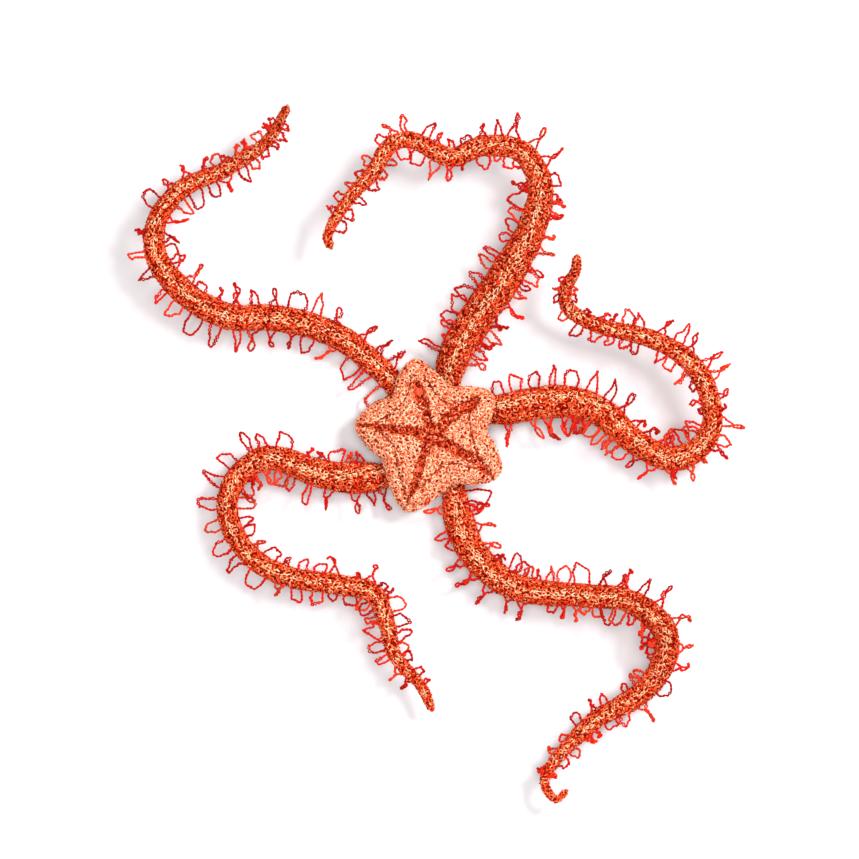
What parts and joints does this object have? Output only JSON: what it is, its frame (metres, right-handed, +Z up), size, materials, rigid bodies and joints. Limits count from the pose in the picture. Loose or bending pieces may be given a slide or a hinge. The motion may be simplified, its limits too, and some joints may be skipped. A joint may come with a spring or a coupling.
{
  "type": "embroidered brittle star model",
  "caption": "Life-size textile model of a brittle star: a padded star-shaped disc and winding arms edged with loops of twisted thread, sewn from dense stitches.",
  "frame": {"origin": "on the resting plane, under the middle of the disc, at the centre of the underside pad's flat face", "axes": "+Z up from the resting plane, +Y towards the upper arm, +X towards the right arm, as seen from above"},
  "size_m": [0.1413, 0.1606, 0.0154],
  "materials": {
    "orange_thread": "dense machine stitches of orange-red rayon thread with a cream band",
    "peach_thread": "dense short stitches of peach and cream thread over orange",
    "red_thread": "dense short stitches of red thread"
  },
  "bodies": {
    "root": {"arm_upper_left_root": "orange_thread", "arm_upper_left_near": "orange_thread", "arm_upper_left_middle": "orange_thread", "arm_upper_left_far": "orange_thread", "arm_upper_left_tip": "orange_thread", "arm_upper_root": "orange_thread", "arm_upper_near": "orange_thread", "arm_upper_middle": "orange_thread", "arm_upper_far": "orange_thread", "arm_upper_tip": "orange_thread", "arm_right_root": "orange_thread", "arm_right_near": "orange_thread", "arm_right_middle": "orange_thread", "arm_right_far": "orange_thread", "arm_right_tip": "orange_thread", "arm_lower_right_root": "orange_thread", "arm_lower_right_near": "orange_thread", "arm_lower_right_middle": "orange_thread", "arm_lower_right_far": "orange_thread", "arm_lower_right_tip": "orange_thread", "arm_lower_left_root": "orange_thread", "arm_lower_left_near": "orange_thread", "arm_lower_left_middle": "orange_thread", "arm_lower_left_far": "orange_thread", "arm_lower_left_tip": "orange_thread", "disc_pad_right": "peach_thread", "disc_pad_upper": "peach_thread", "disc_pad_upper_left": "peach_thread", "disc_pad_lower_left": "peach_thread", "disc_pad_lower_right": "peach_thread", "disc_star": "red_thread", "disc_underside": "peach_thread"}
  },
  "joints": []
}
